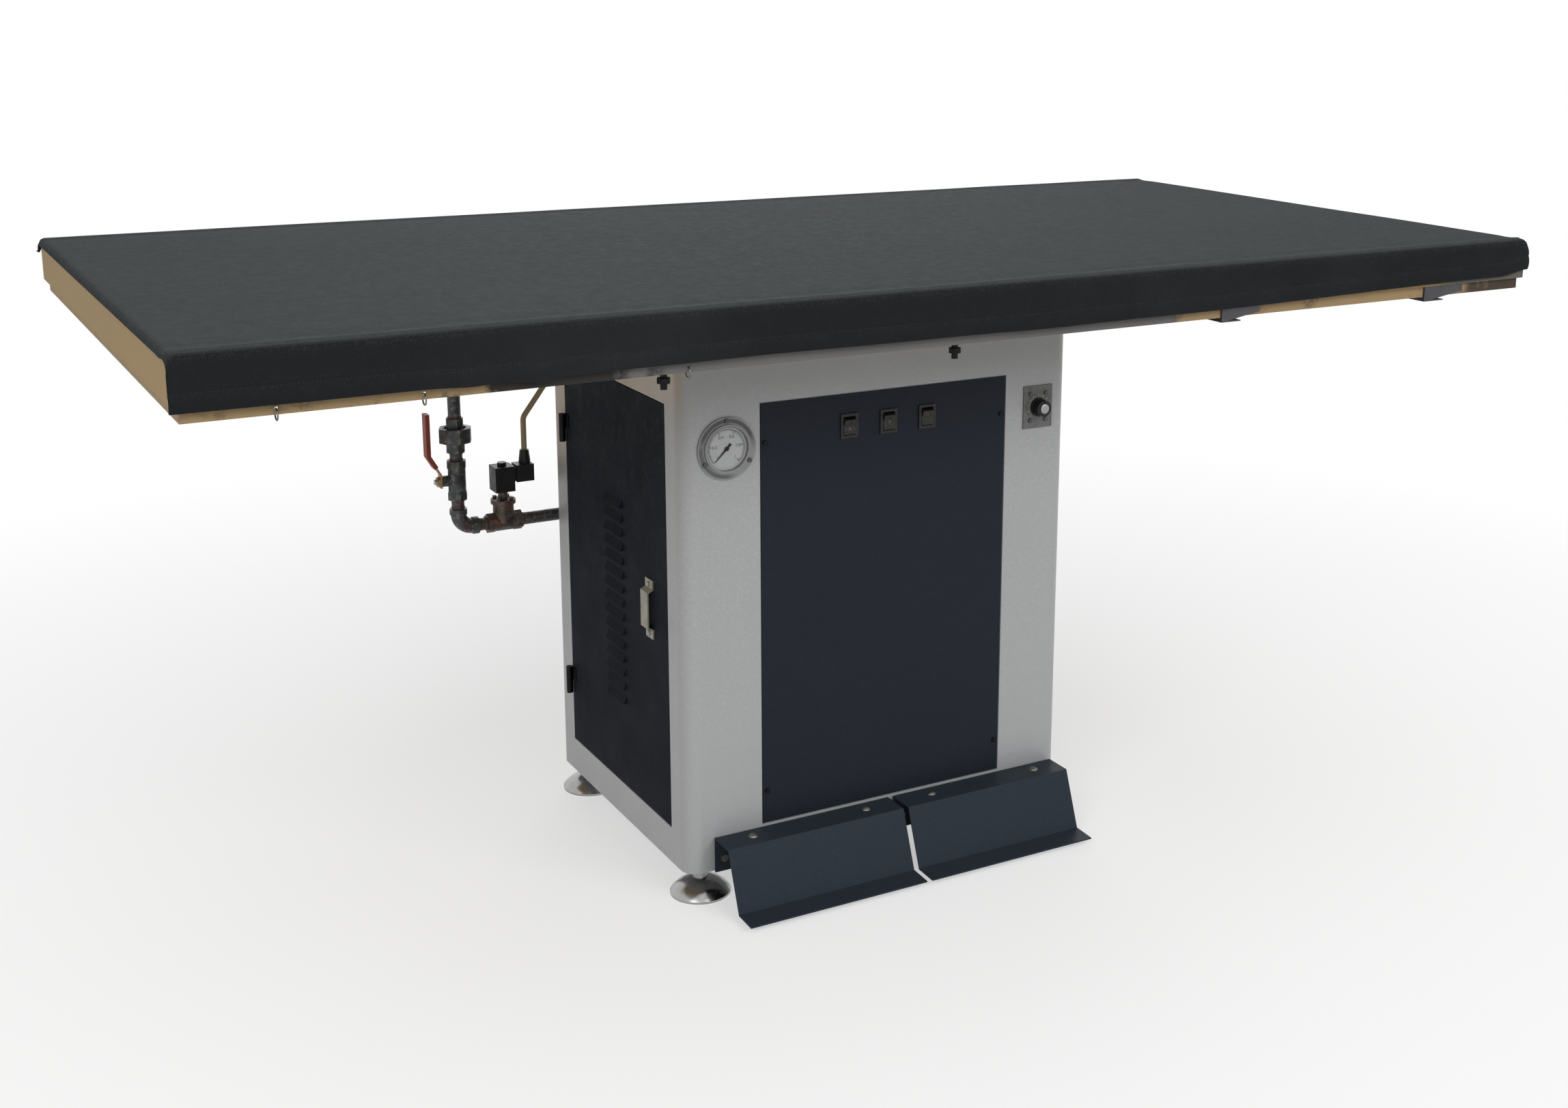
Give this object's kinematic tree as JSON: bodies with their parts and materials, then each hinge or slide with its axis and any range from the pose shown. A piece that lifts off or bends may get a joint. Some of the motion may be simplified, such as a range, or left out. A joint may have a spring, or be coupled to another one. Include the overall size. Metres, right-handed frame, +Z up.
{
  "type": "steam ironing table",
  "caption": "Steam-heated ironing table with a large cloth-covered suction top on a sheet cabinet that holds fan, gauge, thermostat, rocker switches and foot pedals.",
  "frame": {"origin": "on the floor under the middle of the table top", "axes": "+X along the table to the right as seen from the front, +Y from the front to the rear, +Z up"},
  "size_m": [1.836, 0.9175, 0.83],
  "materials": {
    "frame_paint": "pale grey textured powder coat",
    "navy_paint": "dark navy textured powder coat",
    "tan_paint": "matt tan paint",
    "cloth": "close woven heat-proof cover cloth",
    "felt": "pressed felt",
    "steel": "bare rolled sheet",
    "dark_pipe": "dark oily malleable iron",
    "black_plastic": "moulded",
    "black_metal": "black zinc",
    "brass": "dull cast brass",
    "zinc": "bright zinc plate",
    "chrome": "polished",
    "red_vinyl": "dipped grip",
    "white_dial": "enamelled dial",
    "clear": "flat gauge glass",
    "cable": "grey-beige cable sheath"
  },
  "bodies": {
    "cabinet": {"cabinet_frame": "frame_paint", "base_pan": "steel", "front_panel": "navy_paint", "panel_screws": "black_metal", "right_panel": "navy_paint", "rear_panel": "navy_paint", "frame_hinges": "black_metal", "underframe": "tan_paint", "table_box": "tan_paint", "perforated_plate": "steel", "steam_coil": "steel", "foam_pad": "felt", "table_cover": "cloth", "cover_hooks": "zinc", "edge_brackets": "steel", "table_bolts": "black_metal", "air_duct": "steel", "fan_housing": "steel", "fan_motor": "dark_pipe", "fan_stand": "steel", "control_gear": "frame_paint", "switch_bezels": "black_plastic", "thermostat": "zinc", "control_screws": "zinc", "gauge_case": "black_metal", "gauge_dial": "white_dial", "gauge_glass": "clear", "gauge_tube": "brass", "steam_pipes": "dark_pipe", "pipe_union": "dark_pipe", "ball_valve": "brass", "solenoid_valve": "brass", "solenoid_coil": "black_plastic", "solenoid_plug": "black_plastic", "solenoid_lead": "cable", "condensate_line": "dark_pipe", "pedal_shaft": "steel", "pedal_bearings": "zinc", "pedal_switches": "black_plastic"},
    "door": {"side_door": "navy_paint", "door_hinges": "black_metal", "door_pull": "zinc"},
    "left_pedal": {"pedal_left": "navy_paint", "pedal_bolts_left": "zinc"},
    "right_pedal": {"pedal_right": "navy_paint", "pedal_bolts_right": "zinc"},
    "rocker_1": {"rocker_left": "black_plastic"},
    "rocker_2": {"rocker_middle": "black_plastic"},
    "rocker_3": {"rocker_right": "black_plastic"},
    "knob": {"thermostat_knob": "black_plastic"},
    "needle": {"gauge_needle": "black_metal"},
    "valve_handle": {"valve_ball": "steel", "valve_lever": "zinc", "valve_grip": "red_vinyl"},
    "impeller": {"fan_wheel": "zinc"},
    "foot_fl": {"foot_front_left": "chrome"},
    "foot_fr": {"foot_front_right": "chrome"},
    "foot_rl": {"foot_rear_left": "chrome"},
    "foot_rr": {"foot_rear_right": "chrome"}
  },
  "joints": [
    {"name": "door_hinge", "type": "hinge", "parent": "cabinet", "child": "door", "pos_m": [-0.2948, 0.1715, 0.3695], "axis": [0, 0, -1], "range_deg": [0, 105]},
    {"name": "left_pedal_press", "type": "hinge", "parent": "cabinet", "child": "left_pedal", "pos_m": [-0.1225, -0.1958, 0.062], "axis": [1, 0, 0], "range_deg": [0, 2.5], "stiffness_Nm_per_rad": 20, "springref_deg": -11.46},
    {"name": "right_pedal_press", "type": "hinge", "parent": "cabinet", "child": "right_pedal", "pos_m": [0.1455, -0.1958, 0.062], "axis": [1, 0, 0], "range_deg": [0, 2.5], "stiffness_Nm_per_rad": 20, "springref_deg": -11.46},
    {"name": "rocker_1_switch", "type": "hinge", "parent": "cabinet", "child": "rocker_1", "pos_m": [-0.0545, -0.2218, 0.6155], "axis": [-1, 0, 0], "range_deg": [0, 18]},
    {"name": "rocker_2_switch", "type": "hinge", "parent": "cabinet", "child": "rocker_2", "pos_m": [0.004, -0.2218, 0.6155], "axis": [-1, 0, 0], "range_deg": [0, 18]},
    {"name": "rocker_3_switch", "type": "hinge", "parent": "cabinet", "child": "rocker_3", "pos_m": [0.0625, -0.2218, 0.6155], "axis": [-1, 0, 0], "range_deg": [0, 18]},
    {"name": "knob_turn", "type": "hinge", "parent": "cabinet", "child": "knob", "pos_m": [0.239, -0.23, 0.61], "axis": [0, 1, 0], "range_deg": [0, 270]},
    {"name": "needle_sweep", "type": "hinge", "parent": "cabinet", "child": "needle", "pos_m": [-0.229, -0.228, 0.6055], "axis": [0, 1, 0], "range_deg": [0, 270], "stiffness_Nm_per_rad": 0.001, "springref_deg": -5.73},
    {"name": "valve_turn", "type": "hinge", "parent": "cabinet", "child": "valve_handle", "pos_m": [-0.436, 0.2858, 0.469], "axis": [-1, 0, 0], "range_deg": [0, 90]},
    {"name": "impeller_spin", "type": "hinge", "parent": "cabinet", "child": "impeller", "pos_m": [0.01, 0, 0.395], "axis": [0, 0, 1], "continuous": true},
    {"name": "foot_fl_height", "type": "slide", "parent": "cabinet", "child": "foot_fl", "axis": [0, 0, 1], "range_m": [-0.01, 0.002]},
    {"name": "foot_fr_height", "type": "slide", "parent": "cabinet", "child": "foot_fr", "axis": [0, 0, 1], "range_m": [-0.01, 0.002]},
    {"name": "foot_rl_height", "type": "slide", "parent": "cabinet", "child": "foot_rl", "axis": [0, 0, 1], "range_m": [-0.01, 0.002]},
    {"name": "foot_rr_height", "type": "slide", "parent": "cabinet", "child": "foot_rr", "axis": [0, 0, 1], "range_m": [-0.01, 0.002]}
  ]
}
